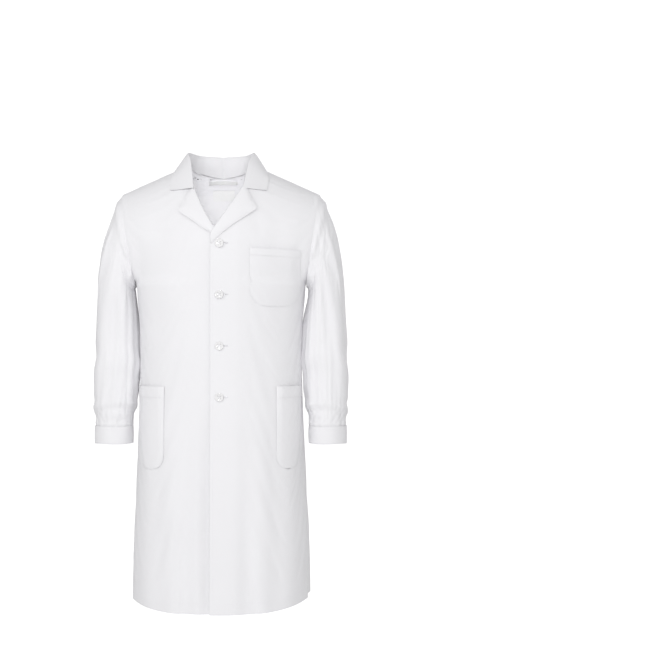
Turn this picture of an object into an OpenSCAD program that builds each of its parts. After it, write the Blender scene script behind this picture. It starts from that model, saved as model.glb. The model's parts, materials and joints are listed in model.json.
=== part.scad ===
// Lab coat, knee length, notched lapels, four buttons, three patch pockets.
// Millimetres. +Z is up, the front faces -Y, and the wearer's left is +X.
// Heights are measured from the hem, and the whole coat is then moved so that
// the hanger loop inside the back of the neck is at the origin.

/* [Body] */
// Height of the neck point at the shoulder above the hem
neck_z = 1012; // [980:1:1040]
// Height of the armpit above the hem
armpit_z = 740; // [720:1:760]
// Half width at the hem
hem_half_w = 205; // [200:1:215]
// Half width at the waist
waist_half_w = 187; // [184:1:189]
// Half width at the armpit
chest_half_w = 196; // [194:1:198]
// Half depth at the hem
hem_depth = 148; // [142:1:155]
// Half depth at the waist
waist_depth = 126; // [120:1:130]
// Half depth at the chest
chest_depth = 130; // [126:1:134]
// Fall of the shoulder seam for each millimetre outwards
shoulder_slope = 0.445; // [0.4:0.005:0.47]

/* [Front] */
// Distance of the left front's edge past the centre line
left_lap = 15; // [12:1:18]
// Distance of the right front's edge past the centre line
right_lap = 25; // [22:1:28]
// Half distance between the two folds at the hem, where the fronts swing open
fold_hem_x = 148; // [146:1:150]
// How far each fold leans inwards for each millimetre upwards
fold_lean = 0.0594; // [0.055:0.0005:0.062]
// Distance of the fold axis in front of the body's middle plane
fold_axis_y = 126; // [125:1:130]
// Height of the top button
top_button_z = 829; // [820:1:832]
// Distance from button to button
button_pitch = 115; // [110:1:118]
// Diameter of a front button
button_d = 20; // [18:0.5:21]

/* [Sleeves] */
// Height of the elbow joint
elbow_z = 600; // [595:1:605]
// Half length of the soft stretch of sleeve around the elbow
elbow_half = 64; // [63:1:66]
// Height of the cuff's top edge
cuff_top_z = 412; // [408:1:415]
// Width of the cuff band
cuff_w = 40; // [35:1:45]

/* [Pockets] */
// Width of the chest pocket across the body
chest_pocket_w = 110; // [105:1:114]
// Height of the chest pocket
chest_pocket_h = 126; // [120:1:130]
// Height of a hip pocket
hip_pocket_h = 187; // [180:1:190]
// Slack between the chest pocket and the cloth behind it
pocket_slack = 9; // [8:0.5:10]
// Slack of a hip pocket
hip_slack = 12; // [10:0.5:13]

/* [Cloth] */
// Thickness that stands for one layer of cloth with its seams
cloth = 1.5; // [1.2:0.1:1.6]
// Space between layers of cloth
layer_gap = 0.5; // [0.4:0.05:0.6]

/* [Hidden] */

white = [0.95, 0.95, 0.965];
shade = [0.90, 0.90, 0.92];
pearl = [0.97, 0.97, 0.95];

left = 1;
right = -1;
front = -1;
back = 1;
seam = 0.3;                 // half of the space left at a seam
section_power = 0.85;       // below 1 makes the body's section squarer than an ellipse
shoulder_flare = 75;        // growth of the section above the armpit, before the armhole cuts it
armhole_lean = 32;          // how far the armhole's top stands out past the armpit
dome_power = 2.5;
neck_half_w = 72;
shoulder_start = 85;
button_x = 5;
button_t = 3;
steps = 14;                 // rows of a panel below the armpit
top_steps = 8;              // rows of a panel above it

// Offsets from the body surface to the inside of each layer
lining = -(cloth + layer_gap);
lap_lift = 4.5;             // rise of the left front where it laps over the right
lapel_lift = cloth + layer_gap + 0.1;

// ---- Body surface ----
// A point is found from its row s: 0 is the hem, 1 the armpit, 2 the shoulder seam.
function dome(s) = s <= 1 ? 0 : 1 - pow(2 - s, 2);
function half_w(s) = s <= 1
    ? lookup(s * armpit_z, [[0, hem_half_w], [130, hem_half_w - 1], [400, waist_half_w + 5],
        [520, waist_half_w], [640, waist_half_w], [armpit_z, chest_half_w]])
    : chest_half_w + shoulder_flare * (1 - pow(1 - dome(s), 2));
function depth(s) = s <= 1
    ? lookup(s * armpit_z, [[0, hem_depth], [520, waist_depth], [armpit_z, chest_depth]])
    : chest_depth * sqrt(max(0, 1 - pow(dome(s), dome_power)));
function shoulder_z(x) = neck_z - max(0, abs(x) - shoulder_start) * shoulder_slope;
function row_z(x, s) = s <= 1 ? s * armpit_z : armpit_z + dome(s) * (shoulder_z(x) - armpit_z);
function row_of_dome(v) = 2 - sqrt(1 - v);
function row_at(z) = z <= armpit_z ? z / armpit_z : row_of_dome((z - armpit_z) / (neck_z - armpit_z));
// Angle round the body, from the middle of the front or back to the side, for a distance x
function angle_at(x, s) = asin(max(-1, min(1, x / half_w(s))));
// Point at an angle and a row, d outside the surface, on the front or the back
function body_point(face, a, s, d) =
    let(v = dome(s), w = half_w(s) + d, t = depth(s) + d * sqrt(1 - pow(v, 4)), x = w * sin(a))
    [x, face * (t * pow(abs(cos(a)), section_power) + seam), row_z(x, s) + d * v * v];

// Outlines, as distances from the middle at row s
function fold_x(s) =
    let(v = dome(s), k = fold_lean, base = s <= 1 ? s * armpit_z : armpit_z + v * (neck_z - armpit_z))
    fold_hem_x - k * base;
function armhole_x(s) = chest_half_w + armhole_lean * dome(s);
function side_x(s) = s <= 1 ? half_w(s) : armhole_x(s);
v_bottom = (850 - 740) / (1012 - 740);
notch = (951 - 740) / (1012 - 740);
flap_top = 0.735;
cut_domes = [0.1, 0.2, 0.3, v_bottom, 0.5, 0.58, 0.66];   // rows that a front shares with its side
notch_x = 54;
function edge_x(s, lap) =
    lookup(dome(s), [[v_bottom, -lap], [notch, notch_x], [1, neck_half_w]]);
back_neck = 0.93;
function back_edge_x(s) = dome(s) <= back_neck ? 0
    : (neck_half_w + 4) * sqrt((dome(s) - back_neck) / (1 - back_neck));

// ---- Sheets ----
// A closed solid between two grids of points with the same rows and columns
module solid_sheet(outer, inner) {
    m = len(outer);
    n = len(outer[0]);
    k = m * n;
    grid = [for (j = [0:m - 2], i = [0:n - 2]) [j * n + i, j * n + i + 1, (j + 1) * n + i + 1, (j + 1) * n + i]];
    skin = [for (q = grid) each [[q[0], q[2], q[1]], [q[0], q[3], q[2]]]];
    under = [for (f = skin) [f[0] + k, f[2] + k, f[1] + k]];
    rim = concat([for (i = [0:n - 2]) [i, i + 1]], [for (j = [0:m - 2]) [j * n + n - 1, (j + 1) * n + n - 1]],
        [for (i = [n - 1:-1:1]) [(m - 1) * n + i, (m - 1) * n + i - 1]], [for (j = [m - 1:-1:1]) [j * n, (j - 1) * n]]);
    wall = [for (e = rim) each [[e[0], e[1], e[1] + k], [e[0], e[1] + k, e[0] + k]]];
    points = [for (r = outer) each r, for (r = inner) each r];
    polyhedron(points, concat(skin, under, wall));
}

// A closed tube between two stacks of rings with the same number of points
module solid_tube(outer, inner) {
    m = len(outer);
    n = len(outer[0]);
    k = m * n;
    grid = [for (j = [0:m - 2], i = [0:n - 1])
        let(b = (i + 1) % n) [j * n + i, j * n + b, (j + 1) * n + b, (j + 1) * n + i]];
    skin = [for (q = grid) each [[q[0], q[2], q[1]], [q[0], q[3], q[2]]]];
    under = [for (f = skin) [f[0] + k, f[2] + k, f[1] + k]];
    low = [for (i = [0:n - 1]) let(b = (i + 1) % n) each [[i, b, b + k], [i, b + k, i + k]]];
    t = (m - 1) * n;
    high = [for (i = [0:n - 1]) let(b = (i + 1) % n) each
        [[t + i, t + b + k, t + b], [t + i, t + i + k, t + b + k]]];
    points = [for (r = outer) each r, for (r = inner) each r];
    polyhedron(points, concat(skin, under, low, high));
}

function rows(s0, s1, count) = [for (j = [0:count]) s0 + (s1 - s0) * j / count];
function joined_rows(s0, s1) = concat(rows(s0, 1, steps), [for (s = rows(1, s1, top_steps)) if (s > 1) s]);

// Moves everything so that the hanger loop is at the origin
loop_z = 985;
loop_reach = 14;
facing_drop = 1.5;          // extra space behind the back neck facing, whose facets are larger
loop_gap = 2.8;             // space between the loop's ends and the facing
function loop_wall_y() = body_point(back, 0, row_at(loop_z), lining - facing_drop)[1] - loop_gap;
module hung() {
    translate([0, loop_reach - loop_wall_y(), -loop_z]) children();
}

module on_side(side) {
    mirror([side == right ? 1 : 0, 0, 0]) children();
}

// ---- Back ----
module back_panel(side) {
    list = joined_rows(0, 2);
    columns = 10;
    function grid(d) = [for (s = list)
        let(a0 = angle_at(back_edge_x(s), s), a1 = angle_at(side_x(s), s))
        [for (i = [0:columns]) let(a = a0 + (a1 - a0) * i / columns) body_point(back, a, s, d) + [seam, 0, 0]]];
    color(white) hung() on_side(side) solid_sheet(grid(0), grid(cloth));
}

module back_neck_facing() {
    columns = 14;
    reach = 66;
    function grid(d) = [for (v = [0.70, 0.76, 0.82, 0.87, 0.92])
        let(s = row_of_dome(v), a = angle_at(reach, s))
        [for (i = [0:columns]) body_point(back, a * (2 * i / columns - 1), s, d)]];
    color(shade) hung() solid_sheet(grid(lining - facing_drop), grid(lining - facing_drop + cloth));
}

module neck_label() {
    label_w = 52;
    label_h = 24;
    label_top = loop_z - 18;
    y = body_point(back, 0, row_at(label_top - label_h), lining - facing_drop)[1];
    y_top = body_point(back, 0, row_at(label_top), lining - facing_drop)[1];
    gap = 3.2;
    t = 0.9;
    function row(z, y0) = [for (x = [-label_w / 2, 0, label_w / 2]) [x, y0, z]];
    color(pearl) hung() solid_sheet(
        [row(label_top - label_h, y - gap - t), row(label_top, y_top - gap - t)],
        [row(label_top - label_h, y - gap), row(label_top, y_top - gap)]);
}

module hanger_loop() {
    half = 34;
    tape = 8;
    t = 1.4;
    n = 12;
    wall = loop_wall_y();
    function line(z, shift) = [for (i = [0:n]) let(u = 2 * i / n - 1)
        [half * u, wall - shift - loop_reach * pow(cos(90 * u), 0.7), z]];
    color(pearl) hung() solid_sheet(
        [line(loop_z - tape, t), line(loop_z, t)],
        [line(loop_z - tape, 0), line(loop_z, 0)]);
}

// ---- Fronts ----
// The part of a front from the fold to the side seam, the armhole and the shoulder
module front_side(side) {
    list = concat(rows(0, 1, steps), [for (v = cut_domes) row_of_dome(v)],
        [for (v = [flap_top + 0.015, flap_top + 0.045, 0.84, 0.91, 0.965, 1]) row_of_dome(v)]);
    columns = 10;
    function inner_x(s) = dome(s) <= flap_top + 0.02 ? fold_x(s) + seam : edge_x(s, 0) + 5;
    function grid(d) = [for (s = list)
        let(a0 = angle_at(inner_x(s), s), a1 = angle_at(side_x(s), s))
        [for (i = [0:columns]) body_point(front, a0 + (a1 - a0) * i / columns, s, d)]];
    color(white) hung() on_side(side) solid_sheet(grid(cloth), grid(0));
}

// Rise of the left front over the right, which ends before the fold
function lap_rise(x, s) =
    let(stop = fold_x(s) - 6, start = max(edge_x(s, left_lap) + 30, 50))
    x <= start ? lap_lift : x >= stop ? 0 : lap_lift * (stop - x) / (stop - start);
function lift(side, x, s) = side == left ? lap_rise(x, s) : 0;

function flap_rows(top) = concat(rows(0, 1, steps), [for (v = cut_domes) row_of_dome(v)], [row_of_dome(top)]);
module flap_sheet(side, lap, from_x, to_x, list, low, high) {
    columns = 10;
    function grid(d) = [for (s = list)
        [for (i = [0:columns])
            let(x = from_x[s_index(s, list)] + (to_x[s_index(s, list)] - from_x[s_index(s, list)]) * i / columns)
            body_point(front, angle_at(x, s), s, d + lift(side, x, s))]];
    hung() on_side(side) solid_sheet(grid(high), grid(low));
}
function s_index(s, list) = search(s, list)[0];

hole_l = 23;
hole_h = 3.4;
// Cloth round a buttonhole that gives way when the button is passed through
patch_in = 15;      // reach of the patch from the button towards the front's edge
patch_w = 37;
patch_h = 24;
module through_front(i, x_from, w, h) {
    reach = 40;
    translate([button_x - x_from, -chest_depth - reach, top_button_z - i * button_pitch - h / 2])
        cube([w, 2 * reach, h]);
}
module patch_windows() {
    for (i = [0:3]) through_front(i, patch_in, patch_w, patch_h);
}

module front_flap(side, lap) {
    list = flap_rows(flap_top);
    flap_sheet(side, lap, [for (s = list) edge_x(s, lap)], [for (s = list) fold_x(s) - seam], list, 0, cloth);
}
module front_left() {
    color(white) difference() {
        front_flap(left, left_lap);
        hung() patch_windows();
    }
}
module front_right() {
    color(white) front_flap(right, right_lap);
}

facing_w = 58;
module facing_sheet(side, lap) {
    list = flap_rows(flap_top - 0.03);
    flap_sheet(side, lap, [for (s = list) edge_x(s, lap) + 2],
        [for (s = list) min(edge_x(s, lap) + facing_w, fold_x(s) - 10)], list, lining, lining + cloth);
}
module facing_left() {
    color(shade) difference() {
        facing_sheet(left, left_lap);
        hung() patch_windows();
    }
}
// Front and facing sewn together round one buttonhole
module buttonhole(i) {
    list = flap_rows(flap_top);
    clear = 0.4;
    color(white) difference() {
        intersection() {
            flap_sheet(left, left_lap, [for (s = list) edge_x(s, left_lap) + 3],
                [for (s = list) edge_x(s, left_lap) + 48], list, lining, cloth);
            hung() through_front(i, patch_in - clear, patch_w - 2 * clear, patch_h - 2 * clear);
        }
        hung() through_front(i, 2.5, hole_l, hole_h);
    }
}
module facing_right() {
    color(shade) facing_sheet(right, right_lap);
}

lapel_tip_x = 86;
function lapel_x(s) = lookup(dome(s), [[v_bottom - 0.01, -5], [0.6, lapel_tip_x], [flap_top, lapel_tip_x - 18]]);
module lapel(side, lap) {
    list = [for (v = [v_bottom + 0.02, 0.47, 0.52, 0.56, 0.6, 0.65, 0.69, flap_top - 0.005]) row_of_dome(v)];
    function near_x(s) = side == left ? edge_x(s, lap) : max(edge_x(s, lap), 4 - edge_x(s, left_lap));
    color(white) flap_sheet(side, lap, [for (s = list) near_x(s)],
        [for (s = list) max(near_x(s) + 4, lapel_x(s))], list, lapel_lift, lapel_lift + cloth);
}

// ---- Collar ----
// Neck seam, ridge and outer edge, from the middle of the back (0) to the notch (1)
function collar_foot(t) = [
    lookup(t, [[0, 0], [0.25, 44], [0.5, 70], [0.75, 67], [1, 58]]),
    lookup(t, [[0, 53], [0.25, 42], [0.5, 4], [0.75, -38], [1, -74]]),
    lookup(t, [[0, 1001], [0.25, 1008], [0.5, 1017], [0.75, 1006], [1, 966]])];
function collar_ridge(t) = [
    lookup(t, [[0, 0], [0.25, 48], [0.5, 75], [0.75, 70], [1, 60]]),
    lookup(t, [[0, 62], [0.25, 48], [0.5, 2], [0.75, -42], [1, -82]]),
    lookup(t, [[0, 1042], [0.25, 1044], [0.5, 1045], [0.75, 1024], [1, 975]])];
function collar_edge(t) = [
    lookup(t, [[0, 0], [0.25, 62], [0.5, 99], [0.75, 107], [1, 104]]),
    lookup(t, [[0, 82], [0.25, 62], [0.5, 4], [0.75, -50], [1, -88]]),
    lookup(t, [[0, 1004], [0.25, 1008], [0.5, 1011], [0.75, 994], [1, 958]])];
function mix(a, b, f) = a + (b - a) * f;

// A folded strip: shrink moves its fold down and its edges up, so that one strip nests in the other
module collar_strip(shrink, thick, reach) {
    half = 14;
    function section(t) =
        let(f = collar_foot(t), r = collar_ridge(t), e = collar_edge(t),
            out = [e[0] - f[0], e[1] - f[1], 0] / norm([e[0] - f[0], e[1] - f[1]]),
            top = r - [0, 0, shrink * 4], foot = mix(f, r, shrink * 0.04) + out * shrink,
            edge = mix(e, r, shrink * 0.06) - out * shrink)
        [foot, mix(foot, top, 0.6), top - [0, 0, thick * 0.4], mix(edge, top, 0.6), edge,
            edge - out * thick, mix(edge - out * thick, top - [0, 0, thick * 2.4], 0.6),
            top - [0, 0, thick * 2.4], mix(foot + out * thick, top - [0, 0, thick * 2.4], 0.6), foot + out * thick];
    function flip(p) = [-p[0], p[1], p[2]];
    sections = concat([for (i = [half:-1:1]) [for (p = section(reach * i / half)) flip(p)]],
        [for (i = [0:half]) section(reach * i / half)]);
    n = 10;
    m = len(sections);
    sides = [for (j = [0:m - 2], i = [0:n - 1])
        let(b = (i + 1) % n) each [[j * n + i, j * n + b, (j + 1) * n + b], [j * n + i, (j + 1) * n + b, (j + 1) * n + i]]];
    function cap(o) = [for (i = [0:3]) each [[o + i, o + 9 - i, o + i + 1], [o + i + 1, o + 9 - i, o + 8 - i]]];
    last = (m - 1) * n;
    caps = concat(cap(0), [for (f = cap(last)) [f[0], f[2], f[1]]]);
    polyhedron([for (s = sections) each s], concat(sides, caps));
}

module top_collar() {
    color(white) hung() collar_strip(0, cloth, 1);
}
module under_collar() {
    color(shade) hung() collar_strip(3.4, cloth, 0.55);
}

// ---- Pockets ----
// A patch that stands off the cloth behind it in the middle and comes back to it at its edges.
// start and stop are distances from the fold line, or undef at the pocket's own edge.
module patch_pocket(x0, x1, z_top, height, corner, start, stop, slack, base_lift) {
    n = 10;
    m = 8;
    function share(offset, s, whole) = is_undef(offset) ? whole
        : (angle_at(fold_x(s) + offset, s) - angle_at(x0, s)) / (angle_at(x1, s) - angle_at(x0, s));
    function bulge(u, w) = slack * pow(max(0, 1 - pow(abs(2 * u - 1), 4)), 0.5) * pow(min(1, w * 4), 0.5);
    function grid(d) = [for (j = [0:m]) let(w = j / m, z = z_top - height * (1 - w), s = row_at(z),
            pull = w < 0.2 ? corner * (1 - sqrt(1 - pow(1 - w * 5, 2))) : 0,
            cut_from = share(start, s, 0), cut_to = share(stop, s, 1))
        [for (i = [0:n])
            let(u = cut_from + (cut_to - cut_from) * i / n, a0 = angle_at(x0, s), a1 = angle_at(x1, s),
                inset = pull * (1 - 2 * u),
                a = a0 + (a1 - a0) * u + inset / half_w(s) * 57.3, x = half_w(s) * sin(a))
            body_point(front, a, s, d + bulge(u, w) + lift(left, x, s) * base_lift)]];
    solid_sheet(grid(2 * cloth + layer_gap), grid(cloth + layer_gap));
}

chest_pocket_x = 73;
chest_pocket_top = 814;
pocket_seam = 3;
module chest_pocket() {
    color(white) hung() patch_pocket(chest_pocket_x, chest_pocket_x + chest_pocket_w, chest_pocket_top,
        chest_pocket_h, 10, pocket_seam, undef, pocket_slack, 0);
}
module chest_pocket_edge() {
    color(white) hung() patch_pocket(chest_pocket_x, chest_pocket_x + chest_pocket_w, chest_pocket_top,
        chest_pocket_h, 0, undef, -pocket_seam, pocket_slack, 1);
}
hip_pocket_x = 134;
hip_pocket_top = 505;
module hip_pocket(side) {
    color(white) hung() on_side(side)
        patch_pocket(hip_pocket_x, waist_half_w - 1, hip_pocket_top, hip_pocket_h, 14, undef, undef, hip_slack, 0);
}

// ---- Buttons ----
function button_z(i) = top_button_z - (i - 1) * button_pitch;
function button_seat_y(i) =
    let(s = row_at(button_z(i))) body_point(front, angle_at(button_x, s), s, lap_lift + cloth)[1];
button_clear = 1.7;

module button_disc(d, t) {
    hole_d = 1.9;
    hole_spread = d * 0.13;
    dish_d = d * 0.62;
    difference() {
        cylinder(h = t, d = d, $fn = 48);
        translate([0, 0, t - 0.7]) cylinder(h = 1, d = dish_d, $fn = 48);
        for (sx = [-1, 1], sy = [-1, 1])
            translate([sx * hole_spread, sy * hole_spread, -1]) cylinder(h = t + 2, d = hole_d, $fn = 24);
    }
}
module front_button(i) {
    color(pearl) hung() translate([button_x, button_seat_y(i) - button_clear, button_z(i)])
        rotate([90, 0, 0]) button_disc(button_d, button_t);
}
module button_threads() {
    shank_d = 2.4;
    color(pearl) hung() for (i = [1:4]) {
        s = row_at(button_z(i));
        sewn_y = body_point(front, angle_at(-button_x, s), s, cloth)[1];
        end_y = button_seat_y(i) - button_clear + 0.4;
        translate([button_x, sewn_y - 0.3, button_z(i)]) rotate([90, 0, 0])
            cylinder(h = sewn_y - 0.3 - end_y, d = shank_d, $fn = 24);
    }
}

// ---- Sleeves ----
ring_n = 24;
// Inner x, inner z, outer x, outer z, half depth and middle y of each ring down the arm
sleeve_keys = [
    [203, 716, 262, 874, 68, 0],
    [202, 700, 276, 820, 66, 0],
    [202, 680, 287, 760, 64, 0],
    [202, elbow_z + elbow_half, 294, elbow_z + elbow_half, 60, 2],
    [202, elbow_z + elbow_half / 2, 297, elbow_z + elbow_half / 2, 58, 2],
    [201, elbow_z, 298, elbow_z, 57, 2],
    [201, elbow_z - elbow_half / 2, 298, elbow_z - elbow_half / 2, 56, 0],
    [201, elbow_z - elbow_half, 297, elbow_z - elbow_half, 55, -2],
    [202, 470, 295, 470, 52, -8],
    [203, 435, 292, 435, 49, -12],
    [205, cuff_top_z, 289, cuff_top_z, 43, -14]];
function ring(key, d) = [for (i = [0:ring_n - 1])
    let(a = 360 * i / ring_n, cx = (key[0] + key[2]) / 2, cz = (key[1] + key[3]) / 2)
    [cx - ((key[2] - key[0]) / 2 + d) * cos(a), key[5] - (key[4] + d) * sin(a),
        cz - (key[3] - key[1]) / 2 * cos(a)]];
function armhole_ring(d) = [for (i = [0:ring_n - 1])
    let(u = i / ring_n, v = (1 - cos(360 * u)) / 2, s = row_of_dome(v), face = u <= 0.5 ? front : back)
    body_point(face, angle_at(armhole_x(s), s), s, d) + [2.4, 0, 0]];

module sleeve_tube(keys, start_at_armhole) {
    first = start_at_armhole ? [0] : [];
    outer = concat([for (k = first) armhole_ring(cloth)], [for (k = keys) ring(k, 0)]);
    inner = concat([for (k = first) armhole_ring(0)], [for (k = keys) ring(k, -cloth)]);
    // Rings run down the arm, so the skins are swapped to keep the solid the right way out
    solid_tube(inner, outer);
}
function lowered(key, dz) = [key[0], key[1] - dz, key[2], key[3] - dz, key[4], key[5]];
module upper_sleeve(side) {
    color(white) hung() on_side(side) sleeve_tube([for (i = [0:3]) sleeve_keys[i]], true);
}
module elbow_sleeve(side) {
    color(shade) hung() on_side(side)
        sleeve_tube(concat([lowered(sleeve_keys[3], seam)], [for (i = [4:6]) sleeve_keys[i]],
            [lowered(sleeve_keys[7], -seam)]), false);
}
module lower_sleeve(side) {
    color(white) hung() on_side(side)
        sleeve_tube(concat([lowered(sleeve_keys[7], seam)], [for (i = [8:9]) sleeve_keys[i]],
            [lowered(sleeve_keys[10], -seam)]), false);
}

// A band wound a little more than once round, so that its end laps over its start
cuff_pitch = 3.2;
cuff_start = 200;
cuff_lap = 36;
function cuff_point(a, d, z) =
    let(k = sleeve_keys[10], r = d + cuff_pitch * (a - cuff_start) / 360 - 2)
    [(k[0] + k[2]) / 2 - ((k[2] - k[0]) / 2 + r) * cos(a), k[5] - (k[4] + r) * sin(a), z];
module cuff(side) {
    n = 33;
    low = cuff_top_z - cuff_w;
    angles = [for (i = [0:n]) cuff_start + (360 + cuff_lap) * i / n];
    function grid(d) = [for (z = [low, cuff_top_z - seam]) [for (a = angles) cuff_point(a, d, z)]];
    color(white) hung() on_side(side) solid_sheet(grid(2), grid(0));
}
module cuff_button(side) {
    a = cuff_start + 360 + 14;
    z = cuff_top_z - cuff_w / 2;
    seat = cuff_point(a, 2.4, z);
    color(pearl) hung() on_side(side) translate(seat)
        rotate([0, 0, 180 + a]) rotate([0, 90, 0]) rotate([180, 0, 0]) mirror([0, 0, 1]) button_disc(15, 2.5);
}

back_panel(left);  // back_left
back_panel(right);  // back_right
front_side(left);  // front_side_left
front_side(right);  // front_side_right
front_left();
front_right();
facing_left();
facing_right();
lapel(left, left_lap);  // lapel_left
lapel(right, right_lap);  // lapel_right
top_collar();
under_collar();
back_neck_facing();
hanger_loop();
neck_label();
chest_pocket();
chest_pocket_edge();
hip_pocket(left);  // hip_pocket_left
hip_pocket(right);  // hip_pocket_right
buttonhole(0);  // buttonhole_1
buttonhole(1);  // buttonhole_2
buttonhole(2);  // buttonhole_3
buttonhole(3);  // buttonhole_4
front_button(1);  // front_button_1
front_button(2);  // front_button_2
front_button(3);  // front_button_3
front_button(4);  // front_button_4
button_threads();
upper_sleeve(left);  // upper_sleeve_left
upper_sleeve(right);  // upper_sleeve_right
elbow_sleeve(left);  // elbow_sleeve_left
elbow_sleeve(right);  // elbow_sleeve_right
lower_sleeve(left);  // lower_sleeve_left
lower_sleeve(right);  // lower_sleeve_right
cuff(left);  // cuff_left
cuff(right);  // cuff_right
cuff_button(left);  // cuff_button_left
cuff_button(right);  // cuff_button_right
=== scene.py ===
"""A white lab coat, worn by nobody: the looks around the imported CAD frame.

Every garment piece is a thin shell made from a grid of points (rows from the hem up, columns
across). The grids come from one body surface, are draped by Blender's cloth simulation, and
the seams, pockets, lapels, facings and stitches are then laid on the draped panels.
Lengths are metres. Heights z are above the hem, y is from the body's middle plane, and
`place` moves both into the frame.
"""
import json
import math

import bpy
import numpy as np
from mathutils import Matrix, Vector

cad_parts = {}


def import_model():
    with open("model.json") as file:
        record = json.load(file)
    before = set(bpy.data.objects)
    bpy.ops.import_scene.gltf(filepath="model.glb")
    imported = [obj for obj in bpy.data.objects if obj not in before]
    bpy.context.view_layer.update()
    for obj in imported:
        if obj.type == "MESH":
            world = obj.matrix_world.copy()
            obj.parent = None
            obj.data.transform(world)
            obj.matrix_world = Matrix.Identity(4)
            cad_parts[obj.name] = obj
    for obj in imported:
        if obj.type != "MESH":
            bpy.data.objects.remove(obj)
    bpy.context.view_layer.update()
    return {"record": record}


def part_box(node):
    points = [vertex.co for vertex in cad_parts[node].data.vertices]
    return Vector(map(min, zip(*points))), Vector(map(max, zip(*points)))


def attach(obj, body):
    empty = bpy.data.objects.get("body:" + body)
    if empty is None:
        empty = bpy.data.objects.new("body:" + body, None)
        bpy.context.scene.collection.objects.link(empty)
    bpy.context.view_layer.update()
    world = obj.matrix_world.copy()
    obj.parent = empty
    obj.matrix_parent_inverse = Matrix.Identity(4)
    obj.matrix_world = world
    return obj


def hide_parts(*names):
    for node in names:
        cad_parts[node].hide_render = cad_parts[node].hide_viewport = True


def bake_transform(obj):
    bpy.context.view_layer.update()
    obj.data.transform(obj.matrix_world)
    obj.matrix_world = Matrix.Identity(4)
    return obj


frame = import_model()
record = frame["record"]
JOINTS = {j["name"]: j for j in record["behaviour"]["joints"]}

# ---- Places taken from the frame ----
HEM_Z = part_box("back_left")[0][2]
MIDDLE_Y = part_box("front_side_left")[1][1] + 0.0003
TOP_BUTTON_Z = (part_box("front_button_1")[0][2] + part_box("front_button_1")[1][2]) / 2 - HEM_Z
BUTTON_X = (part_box("front_button_1")[0][0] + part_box("front_button_1")[1][0]) / 2
FOLD = JOINTS["left_front_open"]
FOLD_HEM_X = FOLD["pos_m"][0]
FOLD_LEAN = -FOLD["axis"][0] / FOLD["axis"][2]
CUFF_LOW_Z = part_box("cuff_left")[0][2] - HEM_Z
CUFF_TOP_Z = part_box("cuff_left")[1][2] - HEM_Z

# ---- Body surface ----
NECK_Z = 1.012
ARMPIT_Z = 0.740
SHOULDER_START = 0.085
SHOULDER_SLOPE = 0.445
CHEST_HALF = 0.196
CHEST_DEPTH = 0.130
ARMHOLE_LEAN = 0.032
SHOULDER_FLARE = 0.075
SECTION_POWER = 0.85
DOME_POWER = 2.5
NECK_HALF = 0.072
V_BOTTOM = 0.404      # height of the lapels' meeting, as a share of the rise from armpit to neck
NOTCH = 0.776
NOTCH_X = 0.054
BACK_NECK = 0.93
LAP = {"left": 0.015, "right": 0.025}
SIGN = {"left": 1, "right": -1}
LAP_LIFT = 0.0052     # rise of the left front where it laps over the right
CLOTH = 0.0007        # thickness of one layer
HEM_RISE = 0.020
ROWS_LOW, ROWS_HIGH = 84, 40
FRONT, BACK = -1, 1


def smoothstep(a, b, x):
    t = np.clip((np.asarray(x, float) - a) / (b - a), 0, 1)
    return t * t * (3 - 2 * t)


def soft_interp(x, keys, values, width):
    """Linear interpolation with its corners rounded over width."""
    return sum(np.interp(x + k * width, keys, values) for k in (-1, -0.5, 0, 0.5, 1)) / 5


def dome(s):
    return np.where(s <= 1, 0, 1 - (2 - np.minimum(s, 2)) ** 2)


def half_w(s):
    low = soft_interp(s * ARMPIT_Z, [0, 0.13, 0.40, 0.52, 0.64, ARMPIT_Z],
                      [0.2055, 0.2045, 0.1915, 0.1865, 0.187, CHEST_HALF], 0.03)
    return np.where(s <= 1, low, CHEST_HALF + SHOULDER_FLARE * (1 - (1 - dome(s)) ** 2))


def depth(s):
    low = soft_interp(s * ARMPIT_Z, [0, 0.52, ARMPIT_Z], [0.148, 0.127, CHEST_DEPTH], 0.05)
    return np.where(s <= 1, low, CHEST_DEPTH * np.sqrt(np.maximum(0, 1 - dome(s) ** DOME_POWER)))


def shoulder_z(x):
    return NECK_Z - np.maximum(0, np.abs(x) - SHOULDER_START) * SHOULDER_SLOPE


def row_z(x, s):
    return np.where(s <= 1, s * ARMPIT_Z, ARMPIT_Z + dome(s) * (shoulder_z(x) - ARMPIT_Z))


def row_at(x, z):
    """The row on which a point at distance x from the middle and height z lies."""
    v = np.clip((z - ARMPIT_Z) / (shoulder_z(x) - ARMPIT_Z), 0, 1)
    return np.where(z <= ARMPIT_Z, z / ARMPIT_Z, 2 - np.sqrt(1 - v))


def angle_at(x, s):
    return np.arcsin(np.clip(x / half_w(s), -1, 1))


def body_point(face, a, s, d):
    """The point at angle a from the middle of the front or back, on row s, d outside the body."""
    v = dome(s)
    x = (half_w(s) + d) * np.sin(a)
    t = depth(s) + d * np.sqrt(np.maximum(0, 1 - v ** 4))
    y = face * t * np.abs(np.cos(a)) ** SECTION_POWER
    return np.stack([x, y, row_z(x, s) + d * v * v], axis=-1)


EDGE = {
    "left": ([V_BOTTOM, NOTCH, 1], [-LAP["left"], NOTCH_X, NECK_HALF]),
    "right": ([0.300, 0.449, 0.553, 0.627, NOTCH, 1],
              [-LAP["right"], 0.006, 0.0240, 0.0350, NOTCH_X, NECK_HALF]),
}


def edge_x(s, side):
    """How far a front's own edge is past the middle: straight, then out along the roll line to the neck."""
    heights, xs = EDGE[side]
    return np.interp(dome(s), heights, xs)


def side_x(s):
    return np.where(s <= 1, half_w(s), CHEST_HALF + ARMHOLE_LEAN * dome(s))


def back_edge_x(s):
    v = dome(s)
    return np.where(v <= BACK_NECK, 0, 0.076 * np.sqrt(np.maximum(0, v - BACK_NECK) / (1 - BACK_NECK)))


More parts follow.
